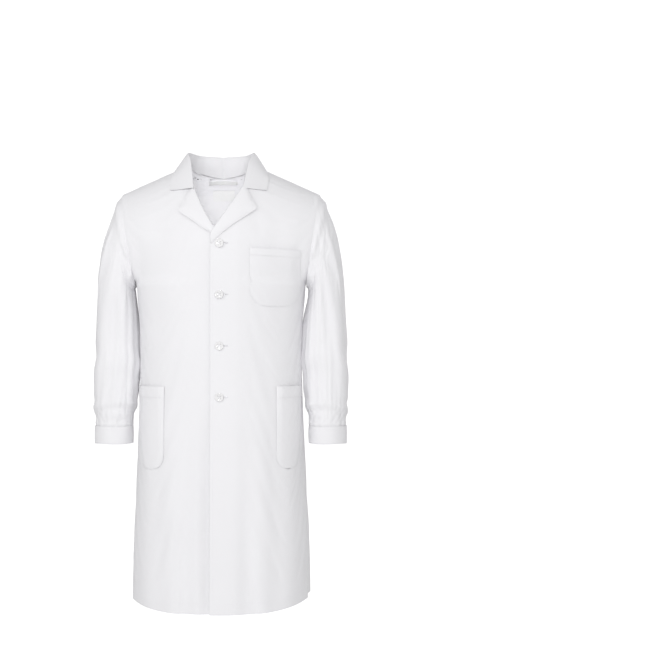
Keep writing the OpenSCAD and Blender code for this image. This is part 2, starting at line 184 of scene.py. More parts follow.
def fold_x(z):
    return FOLD_HEM_X - FOLD_LEAN * z


def drape(p, face):
    """How far the cloth stands in or out of the body surface in its soft vertical folds."""
    turn = np.arctan2(p[..., 0], -p[..., 1])
    z = p[..., 2]
    skirt = 1 - smoothstep(0.02, 0.60, z)
    waves = (0.5 * np.cos(6 * turn + 0.6 + 2.2 * z) + 0.35 * np.cos(11 * turn - 1.1)
             + 0.22 * np.cos(17 * turn + 2.0 - 3 * z))
    middle = smoothstep(0.015, 0.09, np.abs(p[..., 0])) if face == FRONT else 1
    blades = (np.exp(-((np.abs(p[..., 0]) - 0.135) / 0.022) ** 2)
              * smoothstep(0.55, 0.72, z) * (1 - smoothstep(0.84, 0.93, z)))
    return 0.0065 * waves * skirt * middle - 0.004 * blades


# ---- Grids ----
def doubled(p, axis, closed):
    """The grid with a point added between each two, on a smooth curve through them."""
    p = np.moveaxis(p, axis, 0)
    if closed:
        before, after, far = np.roll(p, 1, 0), np.roll(p, -1, 0), np.roll(p, -2, 0)
        here = p
    else:
        q = np.concatenate([[2 * p[0] - p[1]], p, [2 * p[-1] - p[-2]]])
        before, here, after, far = q[:-3], q[1:-2], q[2:-1], q[3:]
    middle = (9 * (here + after) - before - far) / 16
    out = np.empty((len(p) + len(middle),) + p.shape[1:])
    out[0::2], out[1::2] = p, middle
    return np.moveaxis(out, 0, axis)


def refine(p, closed=False):
    return doubled(doubled(p, 1, closed), 0, False)


def normals_of(p, closed=False):
    """Unit normals of a grid, pointing away from the line down its middle."""
    if closed:
        du = np.roll(p, -1, 1) - np.roll(p, 1, 1)
    else:
        du = np.gradient(p, axis=1)
    n = np.cross(du, np.gradient(p, axis=0))
    return n / np.maximum(np.linalg.norm(n, axis=-1, keepdims=True), 1e-9)


def outward(p, n, centre):
    sign = np.sign(np.sum((p - centre) * n))
    return n * (sign if sign else 1)


def smoothed(p, passes, closed=False):
    for _ in range(passes):
        q = p.copy()
        q[1:-1] = (p[:-2] + 2 * p[1:-1] + p[2:]) / 4
        if closed:
            q = (np.roll(q, 1, 1) + 2 * q + np.roll(q, -1, 1)) / 4
        else:
            q[:, 1:-1] = (q[:, :-2] + 2 * q[:, 1:-1] + q[:, 2:]) / 4
        p = q
    return p


def row_list():
    return np.concatenate([np.linspace(0, 1, ROWS_LOW, endpoint=False), np.linspace(1, 2, ROWS_HIGH)])


def place(p):
    """From the body's own heights and depths into the frame."""
    return np.asarray(p) + np.array([0, MIDDLE_Y, HEM_Z])


# ---- Meshes ----
def mesh_object(name, verts, faces, material, uvs=None, normals=None):
    mesh = bpy.data.meshes.new(name)
    mesh.from_pydata(np.asarray(verts).tolist(), [], [tuple(int(i) for i in f) for f in faces])
    mesh.polygons.foreach_set("use_smooth", [True] * len(mesh.polygons))
    if uvs is not None:
        layer = mesh.uv_layers.new(name="cloth")
        layer.data.foreach_set("uv", np.asarray(uvs, np.float32).ravel())
    if normals is not None:
        mesh.normals_split_custom_set_from_vertices(np.asarray(normals).tolist())
    mesh.materials.append(material)
    obj = bpy.data.objects.new(name, mesh)
    bpy.context.scene.collection.objects.link(obj)
    return obj


def lengths(p):
    """Arc lengths across the widest row and along the longest column."""
    across = np.linalg.norm(np.diff(p, axis=1), axis=-1).sum(axis=1).max()
    along = np.linalg.norm(np.diff(p, axis=0), axis=-1).sum(axis=0).max()
    return across, along


def shell(name, p, n, thickness, material, closed=False):
    """A thin closed shell whose outside is the grid p. n are its outward normals."""
    rows, cols = p.shape[:2]
    k = rows * cols
    verts = np.concatenate([p.reshape(-1, 3), (p - n * thickness).reshape(-1, 3)])
    last = cols if closed else cols - 1
    j, i = np.meshgrid(np.arange(rows - 1), np.arange(last), indexing="ij")
    j, i = j.ravel(), i.ravel()
    b = (i + 1) % cols
    quads = np.stack([j * cols + i, j * cols + b, (j + 1) * cols + b, (j + 1) * cols + i], axis=1)
    a, c, d = (verts[quads[:, x]] for x in (0, 1, 3))
    facing = np.sum(np.cross(c - a, d - a) * n.reshape(-1, 3)[quads[:, 0]])
    if facing < 0:
        quads = quads[:, ::-1]
    faces = [quads, quads[:, ::-1] + k]
    ring = []
    if not closed:
        ring += [(r * cols, (r + 1) * cols) for r in range(rows - 1)]
        ring += [((r + 1) * cols - 1, (r + 2) * cols - 1) for r in range(rows - 1)]
    ring += [(q, (q + 1) % cols) for q in range(last)]
    ring += [(k - cols + q, k - cols + (q + 1) % cols) for q in range(last)]
    edge_use = {}
    for f in quads:
        for x in range(4):
            edge_use[(int(f[x]), int(f[(x + 1) % 4]))] = True
    rim = [(e[1], e[0], e[0] + k, e[1] + k) if (e[0], e[1]) in edge_use
           else (e[0], e[1], e[1] + k, e[0] + k) for e in ring]
    faces = np.concatenate(faces + [np.array(rim)])
    across, along = lengths(p)
    u = np.stack([i, i + 1, i + 1, i], axis=1) / max(last, 1) * across
    v = np.stack([j, j, j + 1, j + 1], axis=1) / (rows - 1) * along
    uv = np.stack([u, v], axis=-1)
    front = uv[:, ::-1] if facing < 0 else uv
    uvs = np.concatenate([front, front[:, ::-1], np.zeros((len(rim), 4, 2))])
    normals = np.concatenate([n.reshape(-1, 3), -n.reshape(-1, 3)])
    return mesh_object(name, place(verts), faces, material, uvs, normals)


# ---- Materials ----
def material(name, color, roughness, sheen=0.0, weave=0.0, weave_size=0.0006, mottle=0.015):
    """Woven cloth: threads, a faint unevenness of colour, and a soft crumple."""
    mat = bpy.data.materials.new(name)
    mat.use_nodes = True
    nodes, links = mat.node_tree.nodes, mat.node_tree.links
    shader = nodes["Principled BSDF"]
    shader.inputs["Roughness"].default_value = roughness
    shader.inputs["Sheen Weight"].default_value = sheen
    shader.inputs["Sheen Roughness"].default_value = 0.45
    shader.inputs["Specular IOR Level"].default_value = 0.25

    def add(kind, **settings):
        node = nodes.new(kind)
        for key, value in settings.items():
            if hasattr(node, key):
                setattr(node, key, value)
            else:
                node.inputs[key.replace("_", " ")].default_value = value
        return node

    def math_node(operation, a, b=None):
        node = nodes.new("ShaderNodeMath")
        node.operation = operation
        for index, value in ((0, a), (1, b)):
            if value is None:
                continue
            if isinstance(value, (int, float)):
                node.inputs[index].default_value = value
            else:
                links.new(value, node.inputs[index])
        return node.outputs[0]

    place_node = add("ShaderNodeTexCoord")
    cloud = add("ShaderNodeTexNoise", Scale=9.0, Detail=5.0)
    links.new(place_node.outputs["Object"], cloud.inputs["Vector"])
    ramp = nodes.new("ShaderNodeMapRange")
    ramp.inputs["From Min"].default_value = 0.3
    ramp.inputs["From Max"].default_value = 0.7
    ramp.inputs["To Min"].default_value = 1 - mottle
    ramp.inputs["To Max"].default_value = 1.0
    links.new(cloud.outputs["Fac"], ramp.inputs["Value"])
    tint = nodes.new("ShaderNodeMix")
    tint.data_type = "RGBA"
    tint.blend_type = "MULTIPLY"
    tint.inputs["Factor"].default_value = 1.0
    tint.inputs["A"].default_value = (*color, 1)
    grey = nodes.new("ShaderNodeCombineColor")
    for channel in ("Red", "Green", "Blue"):
        links.new(ramp.outputs[0], grey.inputs[channel])
    links.new(grey.outputs[0], tint.inputs["B"])
    surface = tint.outputs["Result"]

    crumple = add("ShaderNodeTexNoise", Scale=55.0, Detail=4.0, Roughness=0.6)
    links.new(place_node.outputs["Object"], crumple.inputs["Vector"])
    bump_low = nodes.new("ShaderNodeBump")
    bump_low.inputs["Strength"].default_value = 0.22
    bump_low.inputs["Distance"].default_value = 0.0012
    links.new(crumple.outputs["Fac"], bump_low.inputs["Height"])
    out = bump_low.outputs["Normal"]
    if weave:
        split = nodes.new("ShaderNodeSeparateXYZ")
        links.new(place_node.outputs["UV"], split.inputs[0])
        waves = []
        for axis, other in (("X", "Y"), ("Y", "X")):
            turn = math_node("MULTIPLY", split.outputs[axis], 2 * math.pi / weave_size)
            over = math_node("MULTIPLY", split.outputs[other], math.pi / weave_size)
            waves.append(math_node("MULTIPLY", math_node("SINE", turn), math_node("SINE", over)))
        threads = math_node("ADD", math_node("ABSOLUTE", waves[0]), math_node("ABSOLUTE", waves[1]))
        bump = nodes.new("ShaderNodeBump")
        bump.inputs["Strength"].default_value = weave
        bump.inputs["Distance"].default_value = 0.0002
        links.new(threads, bump.inputs["Height"])
        links.new(out, bump.inputs["Normal"])
        out = bump.outputs["Normal"]
        shade = nodes.new("ShaderNodeMapRange")
        shade.inputs["From Max"].default_value = 1.6
        shade.inputs["To Min"].default_value = 0.965
        shade.inputs["To Max"].default_value = 1.0
        links.new(threads, shade.inputs["Value"])
        fine = nodes.new("ShaderNodeMix")
        fine.data_type = "RGBA"
        fine.blend_type = "MULTIPLY"
        fine.inputs["Factor"].default_value = 1.0
        links.new(surface, fine.inputs["A"])
        tone = nodes.new("ShaderNodeCombineColor")
        for channel in ("Red", "Green", "Blue"):
            links.new(shade.outputs[0], tone.inputs[channel])
        links.new(tone.outputs[0], fine.inputs["B"])
        surface = fine.outputs["Result"]
    links.new(surface, shader.inputs["Base Color"])
    links.new(out, shader.inputs["Normal"])
    return mat


CLOTH_MAT = material("poplin", (0.885, 0.88, 0.90), 0.85, sheen=0.12, weave=0.25)
# A darker copy of the poplin for the facings inside the coat: painted shade for the inside, which gets less light
SHADED_INSIDE_MAT = material("poplin_inside_painted_shade", (0.84, 0.835, 0.86), 0.88, sheen=0.1, weave=0.25)
THREAD_MAT = material("thread", (0.86, 0.855, 0.88), 0.6, sheen=0.2, mottle=0.05)
TAPE_MAT = material("tape", (0.88, 0.88, 0.88), 0.8, sheen=0.1, weave=0.5, weave_size=0.0009)
BUTTON_MAT = material("button_resin", (0.80, 0.795, 0.80), 0.34, mottle=0.02)
BUTTON_MAT.node_tree.nodes["Principled BSDF"].inputs["Coat Weight"].default_value = 0.3


# ---- Cloth simulation ----
def collider(name, p, closed):
    rows, cols = p.shape[:2]
    last = cols if closed else cols - 1
    faces = [(j * cols + i, j * cols + (i + 1) % cols, (j + 1) * cols + (i + 1) % cols, (j + 1) * cols + i)
             for j in range(rows - 1) for i in range(last)]
    mesh = bpy.data.meshes.new(name)
    mesh.from_pydata(p.reshape(-1, 3).tolist(), [], faces)
    obj = bpy.data.objects.new(name, mesh)
    bpy.context.scene.collection.objects.link(obj)
    obj.modifiers.new("Collision", "COLLISION")
    obj.collision.thickness_outer = 0.003
    obj.collision.cloth_friction = 8
    return obj


def cloth_object(name, p, pin, grow, closed):
    obj = collider(name, p, closed)
    obj.modifiers.clear()
    group = obj.vertex_groups.new(name="pin")
    for index, weight in enumerate(pin.ravel()):
        if weight > 0.001:
            group.add([index], float(weight), "REPLACE")
    cloth = obj.modifiers.new("Cloth", "CLOTH")
    settings = cloth.settings
    settings.quality = 6
    settings.mass = 0.2
    settings.tension_stiffness = 20
    settings.compression_stiffness = 20
    settings.shear_stiffness = 8
    settings.bending_stiffness = 0.6
    settings.air_damping = 2
    settings.vertex_group_mass = "pin"
    settings.shrink_min = -grow
    cloth.collision_settings.distance_min = 0.002
    cloth.collision_settings.use_self_collision = False
    cloth.point_cache.frame_end = 60
    return obj


def simulate(jobs, colliders, frames):
    """Drapes all the grids at once. jobs: name -> (grid, pin, grow, closed)."""
    bodies = [collider("form_%d" % i, p, closed) for i, (p, closed) in enumerate(colliders)]
    cloths = {name: cloth_object("sim_" + name, *job) for name, job in jobs.items()}
    scene = bpy.context.scene
    for number in range(1, frames + 1):
        scene.frame_set(number)
    graph = bpy.context.evaluated_depsgraph_get()
    result = {}
    for name, obj in cloths.items():
        mesh = obj.evaluated_get(graph).to_mesh()
        co = np.empty(len(mesh.vertices) * 3, np.float32)
        mesh.vertices.foreach_get("co", co)
        result[name] = co.reshape(jobs[name][0].shape).astype(float)
        obj.evaluated_get(graph).to_mesh_clear()
    for obj in list(cloths.values()) + bodies:
        mesh = obj.data
        bpy.data.objects.remove(obj)
        bpy.data.meshes.remove(mesh)
    scene.frame_set(1)
    return result


# ---- Base grids of the panels ----
def front_grid(side):
    s = row_list()[:, None]
    a0 = angle_at(edge_x(s, side), s)
    a1 = np.where(s <= 1, math.pi / 2, angle_at(side_x(s), s))
    u = np.linspace(0, 1, 44)[None, :]
    p = body_point(FRONT, a0 + (a1 - a0) * u, s + 0 * u, 0.0008)
    n = outward(p, normals_of(p), np.array([0, 0, 0.5]))
    p = eased(p + n * drape(p, FRONT)[..., None], u)
    if side == "left":
        p = p + n * lap_rise(p)[..., None]
    else:
        p = p + n * under_fold(p)[..., None]
    return hem_curve(p)


def eased(p, u):
    """Rounds the change of slope across the chest at the armpits, away from the armholes."""
    soft = smoothed(p, 60)
    near = np.exp(-((p[..., 2] - ARMPIT_Z) / 0.100) ** 2) * (1 - smoothstep(0.80, 0.98, u))
    p = p.copy()
    p[..., 1] += (soft[..., 1] - p[..., 1]) * near
    return p


def hem_curve(p):
    """The hem rises a little at the sides."""
    rise = HEM_RISE * np.clip(np.abs(p[..., 0]) / 0.205, 0, 1) ** 4 * (1 - smoothstep(0.0, 0.26, p[..., 2]))
    return p + rise[..., None] * np.array([0, 0, 1])


def lap_rise(p):
    """The left front stands off the right where they lap, and comes back before its fold."""
    stop = fold_x(p[..., 2]) - 0.006
    start = np.minimum(np.maximum(0.045, edge_x(row_at(p[..., 0], p[..., 2]), "left") + 0.03), stop - 0.02)
    return LAP_LIFT * (1 - np.clip((p[..., 0] - start) / (stop - start), 0, 1) ** 0.9)


def under_fold(p):
    """The right front (here not yet mirrored) falls back beside the left front's edge."""
    near = np.exp(-((p[..., 0] - 0.022) / 0.017) ** 2)
    return -0.0075 * near * (1 - smoothstep(0.18, 0.56, p[..., 2]))


def back_grid():
    s = row_list()[:, None]
    a0 = angle_at(back_edge_x(s), s)
    a1 = np.where(s <= 1, math.pi / 2, angle_at(side_x(s), s))
    u = np.linspace(0, 1, 40)[None, :]
    p = body_point(BACK, a0 + (a1 - a0) * u, s + 0 * u, 0.0008)
    n = outward(p, normals_of(p), np.array([0, 0, 0.5]))
    return hem_curve(eased(p + n * drape(p, BACK)[..., None], u))


# Inner and outer x, inner and outer height, half depth and middle y down the arm
SLEEVE_STATIONS = np.array([
    [0.2015, 0.264, 0.722, 0.880, 0.070, 0.000],
    [0.1985, 0.278, 0.702, 0.832, 0.069, 0.000],
    [0.1932, 0.288, 0.676, 0.772, 0.067, 0.000],
    [0.1888, 0.2945, 0.640, 0.704, 0.063, 0.001],
    [0.1870, 0.2985, 0.598, 0.630, 0.060, 0.001],
    [0.1870, 0.300, 0.548, 0.560, 0.057, -0.001],
    [0.1895, 0.2985, 0.500, 0.505, 0.055, -0.004],
    [0.1965, 0.295, 0.455, 0.456, 0.052, -0.010],
    [0.2025, 0.291, 0.425, 0.425, 0.046, -0.013],
    [0.2055, 0.2885, 0.411, 0.411, 0.0425, -0.014]])
SLEEVE_COLS, SLEEVE_ROWS = 60, 68
SPLIT_ROW = 30        # the sleeve is two pieces, which meet in the upper arm


def armhole_ring():
    u = np.arange(SLEEVE_COLS) / SLEEVE_COLS
    v = (1 - np.cos(2 * math.pi * u)) / 2
    s = 2 - np.sqrt(1 - v)
    a = np.where(v < 1e-9, math.pi / 2, angle_at(side_x(s), s))
    front, back = (body_point(face, a, s, 0.0008) for face in (FRONT, BACK))
    return np.where((u <= 0.5)[:, None], front, back)


def sleeve_grid():
    """Rings from the armhole down to the cuff, with the columns from the armpit round the front."""
    turn = 2 * math.pi * np.arange(SLEEVE_COLS) / SLEEVE_COLS
    k = SLEEVE_STATIONS
    rings = []
    for x0, x1, z0, z1, ry, cy in k:
        rings.append(np.stack([(x0 + x1) / 2 - (x1 - x0) / 2 * np.cos(turn),
                               cy - ry * np.sin(turn),
                               (z0 + z1) / 2 - (z1 - z0) / 2 * np.cos(turn)], axis=1))
    rings = np.array([armhole_ring()] + rings)
    # Rows at even distances down the outside of the arm, on smooth curves through the rings
    gaps = np.linalg.norm(np.diff(rings, axis=0), axis=-1).mean(axis=1)
    along = np.concatenate([[0], np.cumsum(gaps)])
    at = np.linspace(0, along[-1], SLEEVE_ROWS)
    grid = np.stack([curve_through(along, rings[:, i], at) for i in range(SLEEVE_COLS)], axis=1)
    return grid


def curve_through(keys, values, at):
    """A smooth curve (Hermite, with slopes from the neighbours) through values at the keys."""
    slope = np.gradient(values, keys, axis=0)
    i = np.clip(np.searchsorted(keys, at, side="right") - 1, 0, len(keys) - 2)
    h = (keys[i + 1] - keys[i])[:, None]
    t = (at - keys[i])[:, None] / h
    a, b = values[i], values[i + 1]
    return ((2 * t ** 3 - 3 * t ** 2 + 1) * a + (t ** 3 - 2 * t ** 2 + t) * h * slope[i]
            + (3 * t ** 2 - 2 * t ** 3) * b + (t ** 3 - t ** 2) * h * slope[i + 1])


def sleeve_folds(p, side):
    """Long soft creases: from the armhole down across the arm, round the elbow, and above the cuff."""
    rows, cols = p.shape[:2]
    v = np.linspace(0, 1, rows)[:, None]
    turn = (2 * math.pi * np.arange(cols) / cols)[None, :]
    phase = 0.7 if side == "left" else 0.0
    long_folds = np.cos(2.0 * turn + 5.5 * v + phase) * np.cos(3.0 * turn - 3.2 * v - phase)
    top = smoothstep(0.03, 0.16, v) * (1 - smoothstep(0.50, 0.72, v))
    elbow = np.exp(-((v - 0.66) / 0.10) ** 2) * np.cos(26 * v + 2.4 * np.cos(turn - 0.8) + phase)
    wrist = np.exp(-((v - 0.90) / 0.045) ** 2) * np.cos(70 * v + 3.0 * np.cos(turn - 1.2) - phase)
    gather = smoothstep(0.88, 0.985, v) * np.cos(14 * turn + phase) * 0.35
    seam = 0.0030 * np.exp(-((v - 0.036) / 0.016) ** 2) - 0.0012 * np.exp(-((v - 0.008) / 0.008) ** 2)
    return 0.0050 * long_folds * top + 0.0034 * elbow + 0.0034 * wrist + 0.0020 * gather + seam


def border_pin(rows, cols, top=True, bottom=False, left=True, right=True, reach=3):
    """Weights of 1 on the chosen borders, falling to 0 within reach cells."""
    j, i = np.meshgrid(np.arange(rows), np.arange(cols), indexing="ij")
    far = np.full((rows, cols), 99.0)
    if top:
        far = np.minimum(far, rows - 1 - j)
    if bottom:
        far = np.minimum(far, j)
    if left:
        far = np.minimum(far, i)
    if right:
        far = np.minimum(far, cols - 1 - i)
    return np.clip(1 - far / reach, 0, 1)


# ---- The draped panels ----
base = {"front_left": front_grid("left"), "front_right": front_grid("right"), "back": back_grid()}
rest_sleeve = sleeve_grid()
for side in ("left", "right"):
    n = outward(rest_sleeve, normals_of(rest_sleeve, True), rest_sleeve.mean(axis=1, keepdims=True))
    base["sleeve_" + side] = rest_sleeve + n * sleeve_folds(rest_sleeve, side)[..., None]


def body_form():
    """The stand that the cloth rests on: the body surface, a little inside the coat."""
    s = np.linspace(0.05, 1.93, 50)[:, None]
    a = np.linspace(0, 2 * math.pi, 64, endpoint=False)[None, :]
    face = np.where(np.cos(a) >= 0, FRONT, BACK)
    limit = np.where(s <= 1, math.pi / 2, angle_at(side_x(s), s))
    half = np.arcsin(np.abs(np.sin(a))) / (math.pi / 2) * limit
    p = body_point(1, half, s + 0 * a, -0.010)
    return np.stack([p[..., 0] * np.sign(np.sin(a) + 1e-12), p[..., 1] * face, p[..., 2]], axis=-1)


def draped_panels():
    jobs = {}
    for name in ("front_left", "front_right", "back"):
        p = base[name]
        pin = border_pin(*p.shape[:2])
        if name != "back":
            pin = np.maximum(pin, 1 - smoothstep(0.045, 0.085, p[..., 0]))
        jobs[name] = (p, pin, 0.006, False)
    for side in ("left", "right"):
        p = base["sleeve_" + side]
        pin = border_pin(*p.shape[:2], top=True, bottom=True, left=False, right=False, reach=4)
        jobs["sleeve_" + side] = (p, pin, 0.022, True)
    arm = rest_sleeve[2::3]
    middle = arm.mean(axis=1, keepdims=True)
    arm = middle + (arm - middle) * 0.80
    return simulate(jobs, [(body_form(), True), (arm, True)], 22)


MOST_MOVE = 0.006     # no point ends further than this from where the pattern put it


def wrinkled(name, p):
    """The pattern's own shape with the simulation's wrinkles, but not its sag."""
    start = base[name]
    closed = name.startswith("sleeve")
    d = p - start
    d = (d - 0.85 * smoothed(d, 40, closed)) * (0.28 if closed else 0.22)
    far = np.linalg.norm(d, axis=-1, keepdims=True)
    return start + d * np.minimum(1, MOST_MOVE / np.maximum(far, 1e-9))


draped = {k: wrinkled(k, p) for k, p in draped_panels().items()}


class Panel:
    """A draped panel: its fine grid, its normals, and where a body point lies on it."""

    def __init__(self, grid, centre, closed=False):
        self.p = refine(grid, closed)
        self.n = outward(self.p, normals_of(self.p, closed), centre)
        self.centre = centre

    def at(self, u, v, d=0.0):
        """Points and normals at column share u and row share v, d outside the panel."""
        rows, cols = self.p.shape[:2]
        x = np.clip(np.asarray(u, float) * (cols - 1), 0, cols - 1.0001)
        y = np.clip(np.asarray(v, float) * (rows - 1), 0, rows - 1.0001)
        i, j = x.astype(int), y.astype(int)
        fx, fy = (x - i)[..., None], (y - j)[..., None]

        def pick(g):
            return ((g[j, i] * (1 - fx) + g[j, i + 1] * fx) * (1 - fy)
                    + (g[j + 1, i] * (1 - fx) + g[j + 1, i + 1] * fx) * fy)
        n = pick(self.n)
        n = n / np.linalg.norm(n, axis=-1, keepdims=True)
        return pick(self.p) + n * np.asarray(d)[..., None], n


class FrontPanel(Panel):
    def __init__(self, grid, side):
        super().__init__(grid, np.array([0, 0, 0.5]))
        self.side = side
        self.rows = np.linspace(0, 1, len(row_list()))
        self.row_values = row_list()

    def uv(self, x, z):
        """Column and row shares of the point at distance x and height z."""
        x, z = np.broadcast_arrays(np.asarray(x, float), np.asarray(z, float))
        s = row_at(x, z)
        v = np.interp(s, self.row_values, self.rows)
        a0 = angle_at(edge_x(s, self.side), s)
        a1 = np.where(s <= 1, math.pi / 2, angle_at(side_x(s), s))
        return (angle_at(x, s) - a0) / (a1 - a0), v

    def xz(self, x, z, d=0.0):
        u, v = self.uv(x, z)
        return self.at(u, v, d)


fronts = {side: FrontPanel(draped["front_" + side], side) for side in ("left", "right")}
back_panel = Panel(draped["back"], np.array([0, 0, 0.5]))
sleeves = {}
for side in ("left", "right"):
    fine = refine(draped["sleeve_" + side], True)
    n = outward(fine, normals_of(fine, True), fine.mean(axis=1, keepdims=True))
    sleeves[side] = (fine, n)


def to_side(g, side):
    """Mirrors points or normals to the wearer's right."""
    return g * np.array([SIGN[side], 1, 1])


def bend_front(obj):
    """Bakes the object's place into its mesh."""
    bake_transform(obj)


def bend_collar(obj):
    """Bakes the collar's place into its mesh."""
    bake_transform(obj)


def bend_sleeve(obj, side, part):
    sign = SIGN[side]
    if part == "upper":
        # From the armpit to the cut between the two pieces; these points are not used, and the piece is only baked in
        # place
        start, end = (0.1983, 0, 0.7400), (0.2140, 0, 0.7349)
    else:
        # Below the cut, at the elbow's axis
        start, end = (0.249, 0, 0.6225), (0.249, 0, 0.545)
    start, end = (place(np.array(q) * [sign, 1, 1]) for q in (start, end))
    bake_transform(obj)


# ---- Stitches ----
STITCH, STITCH_GAP, STITCH_R = 0.0028, 0.0012, 0.00034
stitch_lines = {}


def stitch(group, p, n):
    """Adds a line of machine stitches along the points p, on a surface with normals n."""
    stitch_lines.setdefault(group, []).append((np.asarray(p), np.asarray(n)))


def stitches_object(group):
    profile = [(-0.5, 0.25), (-0.32, 0.9), (0, 1.0), (0.32, 0.9), (0.5, 0.25)]
    sides = 5
    verts, faces = [], []
    for p, n in stitch_lines[group]:
        step = np.linalg.norm(np.diff(p, axis=0), axis=1)
        along = np.concatenate([[0], np.cumsum(step)])
        centres = np.arange(STITCH, along[-1] - STITCH, STITCH + STITCH_GAP)
        if not len(centres):
            continue
        at = [np.stack([np.interp(centres + o, along, p[:, k]) for k in range(3)], 1) for o in (-0.001, 0, 0.001)]
        up = np.stack([np.interp(centres, along, n[:, k]) for k in range(3)], 1)
        ahead = at[2] - at[0]
        ahead /= np.maximum(np.linalg.norm(ahead, axis=1, keepdims=True), 1e-9)
        across = np.cross(up, ahead)
        across /= np.maximum(np.linalg.norm(across, axis=1, keepdims=True), 1e-9)
        up = np.cross(ahead, across)
        for c, t, b, h in zip(at[1], ahead, across, up):
            first = len(verts)
            for x, r in profile:
                for q in range(sides):
                    angle = 2 * math.pi * q / sides
                    verts.append(c + t * x * STITCH + h * (STITCH_R * 0.35)
                                 + (b * math.cos(angle) + h * 0.7 * math.sin(angle)) * r * STITCH_R)
            for ring in range(len(profile) - 1):
                for q in range(sides):
                    o = first + ring * sides
                    faces.append((o + q, o + (q + 1) % sides, o + sides + (q + 1) % sides, o + sides + q))
            end = first + (len(profile) - 1) * sides
            faces.append(tuple(first + sides - 1 - q for q in range(sides)))
            faces.append(tuple(end + q for q in range(sides)))
    obj = mesh_object(group, place(verts), faces, THREAD_MAT)
    return obj


# ---- Backs ----
for side in ("left", "right"):
    p, n = to_side(back_panel.p, side), to_side(back_panel.n, side)
    obj = shell("back_panel_" + side, p, n, CLOTH, CLOTH_MAT)
    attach(obj, "torso")
    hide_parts("back_" + side)
    u = np.linspace(0.01, 0.99, 160)
    q, m = back_panel.at(u, np.full_like(u, 0.0235), 0)
    stitch("back_stitches", to_side(q, side), to_side(m, side))
    v = np.linspace(0.03, 0.86, 260)
    q, m = back_panel.at(np.full_like(v, 0.017), v, 0)
    if side == "right":
        stitch("back_stitches", to_side(q, side), to_side(m, side))
    # shoulder seam, stitched down on the back
    u = np.linspace(0.05, 0.97, 60)
    q, m = back_panel.at(u, np.full_like(u, 0.972), 0)
    stitch("back_stitches", to_side(q, side), to_side(m, side))

# ---- Fronts ----
for side in ("left", "right"):
    panel = fronts[side]
    p, n = to_side(panel.p, side), to_side(panel.n, side)
    obj = shell("front_panel_" + side, p, n, CLOTH, CLOTH_MAT)
    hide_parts("front_" + side, "front_side_" + side)
    bend_front(obj)
    group = "front_stitches_" + side
    u = np.linspace(0.015, 0.99, 200)
    q, m = panel.at(u, np.full_like(u, 0.0235))
    stitch(group, to_side(q, side), to_side(m, side))
    z = np.linspace(0.025, 0.822 if side == "left" else 0.800, 300)
    q, m = panel.xz(np.full_like(z, -LAP[side] + 0.006), z)
    stitch(group, to_side(q, side), to_side(m, side))
    v = np.linspace(0.03, 0.665, 220)
    q, m = panel.at(np.full_like(v, 0.985), v)
    stitch(group, to_side(q, side), to_side(m, side))

# ---- Facings inside the fronts ----
FACING_W = 0.058
for side in ("left", "right"):
    panel = fronts[side]
    z = np.concatenate([np.linspace(0.004, 0.84, 150), np.linspace(0.85, 0.945, 24)])[:, None]
    s = row_at(0.03, z)
    u = np.linspace(0, 1, 14)[None, :]
    x0 = edge_x(s, side) + 0.0008
    x1 = np.minimum(x0 + FACING_W, fold_x(z) - 0.012)
    p, n = panel.xz(x0 + (x1 - x0) * u, z + 0 * u, np.full((1, 1), -0.0016))
    obj = shell("facing_panel_" + side, to_side(p, side), to_side(n, side), CLOTH, SHADED_INSIDE_MAT)
    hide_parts("facing_" + side)
    bend_front(obj)


# ---- Lapels ----
LAPEL_KEYS = {      # heights, and how far the lapel's outer edge is from the middle there
    "left": ([0.829, 0.850, 0.869, 0.889, 0.906, 0.922, 0.938, 0.951],
             [-0.0135, 0.0090, 0.0330, 0.0620, 0.0860, 0.079, 0.071, 0.0645]),
    "right": ([0.826, 0.843, 0.862, 0.880, 0.901, 0.920, 0.938, 0.951],
              [-0.0220, -0.0050, 0.0320, 0.0560, 0.0885, 0.080, 0.072, 0.0645]),
}
LAPEL_ROLL = 0.0030


def lapel_grid(side):
    """From the roll line, round the roll and out to the lapel's edge."""
    panel = fronts[side]
    heights, edge = LAPEL_KEYS[side]
    rows = np.interp(np.linspace(0, 7, 43), np.arange(8), heights)
    outer = np.interp(rows, heights, edge)
    roll = edge_x(row_at(0.03, rows), side)
    width = np.maximum(outer - roll, 0.003)[:, None]
    t = np.linspace(0, 1, 25)[None, :]
    arc = np.minimum(t / 0.16, 1) * math.pi
    flat = np.clip((t - 0.16) / 0.84, 0, 1)
    grow = smoothstep(heights[0], heights[0] + 0.038, rows)[:, None]
    size = LAPEL_ROLL * (0.35 + 0.65 * grow)
    x = roll[:, None] + 0.0006 - size * np.sin(arc) * 0.8 + flat * width
    crown = 0.0016 * np.sin(math.pi * np.clip(flat, 0, 1)) * grow
    fall = size * (1 - np.cos(arc)) * (1 - 0.62 * flat) + crown + 0.0004
    if side == "right":     # it passes under the left front near the middle
        under = smoothstep(-0.012, 0.022, x)
        fall = fall * (0.25 + 0.75 * under)
    # Outer corner stands a little off the front
    lift = 0.0030 * np.exp(-((rows - heights[4]) / 0.016) ** 2)[:, None] * smoothstep(0.6, 1.0, t)
    p, n = panel.xz(x, rows[:, None] + 0 * t, fall + lift)
    over = x < edge_x(row_at(0.03, rows), side)[:, None]
    q, m = panel.xz(np.maximum(x, roll[:, None] + 0.0002), rows[:, None] + 0 * t, fall + lift)
    q = q + np.where(over, x - roll[:, None], 0)[..., None] * np.array([1, 0, 0])
    return smoothed(q, 1)


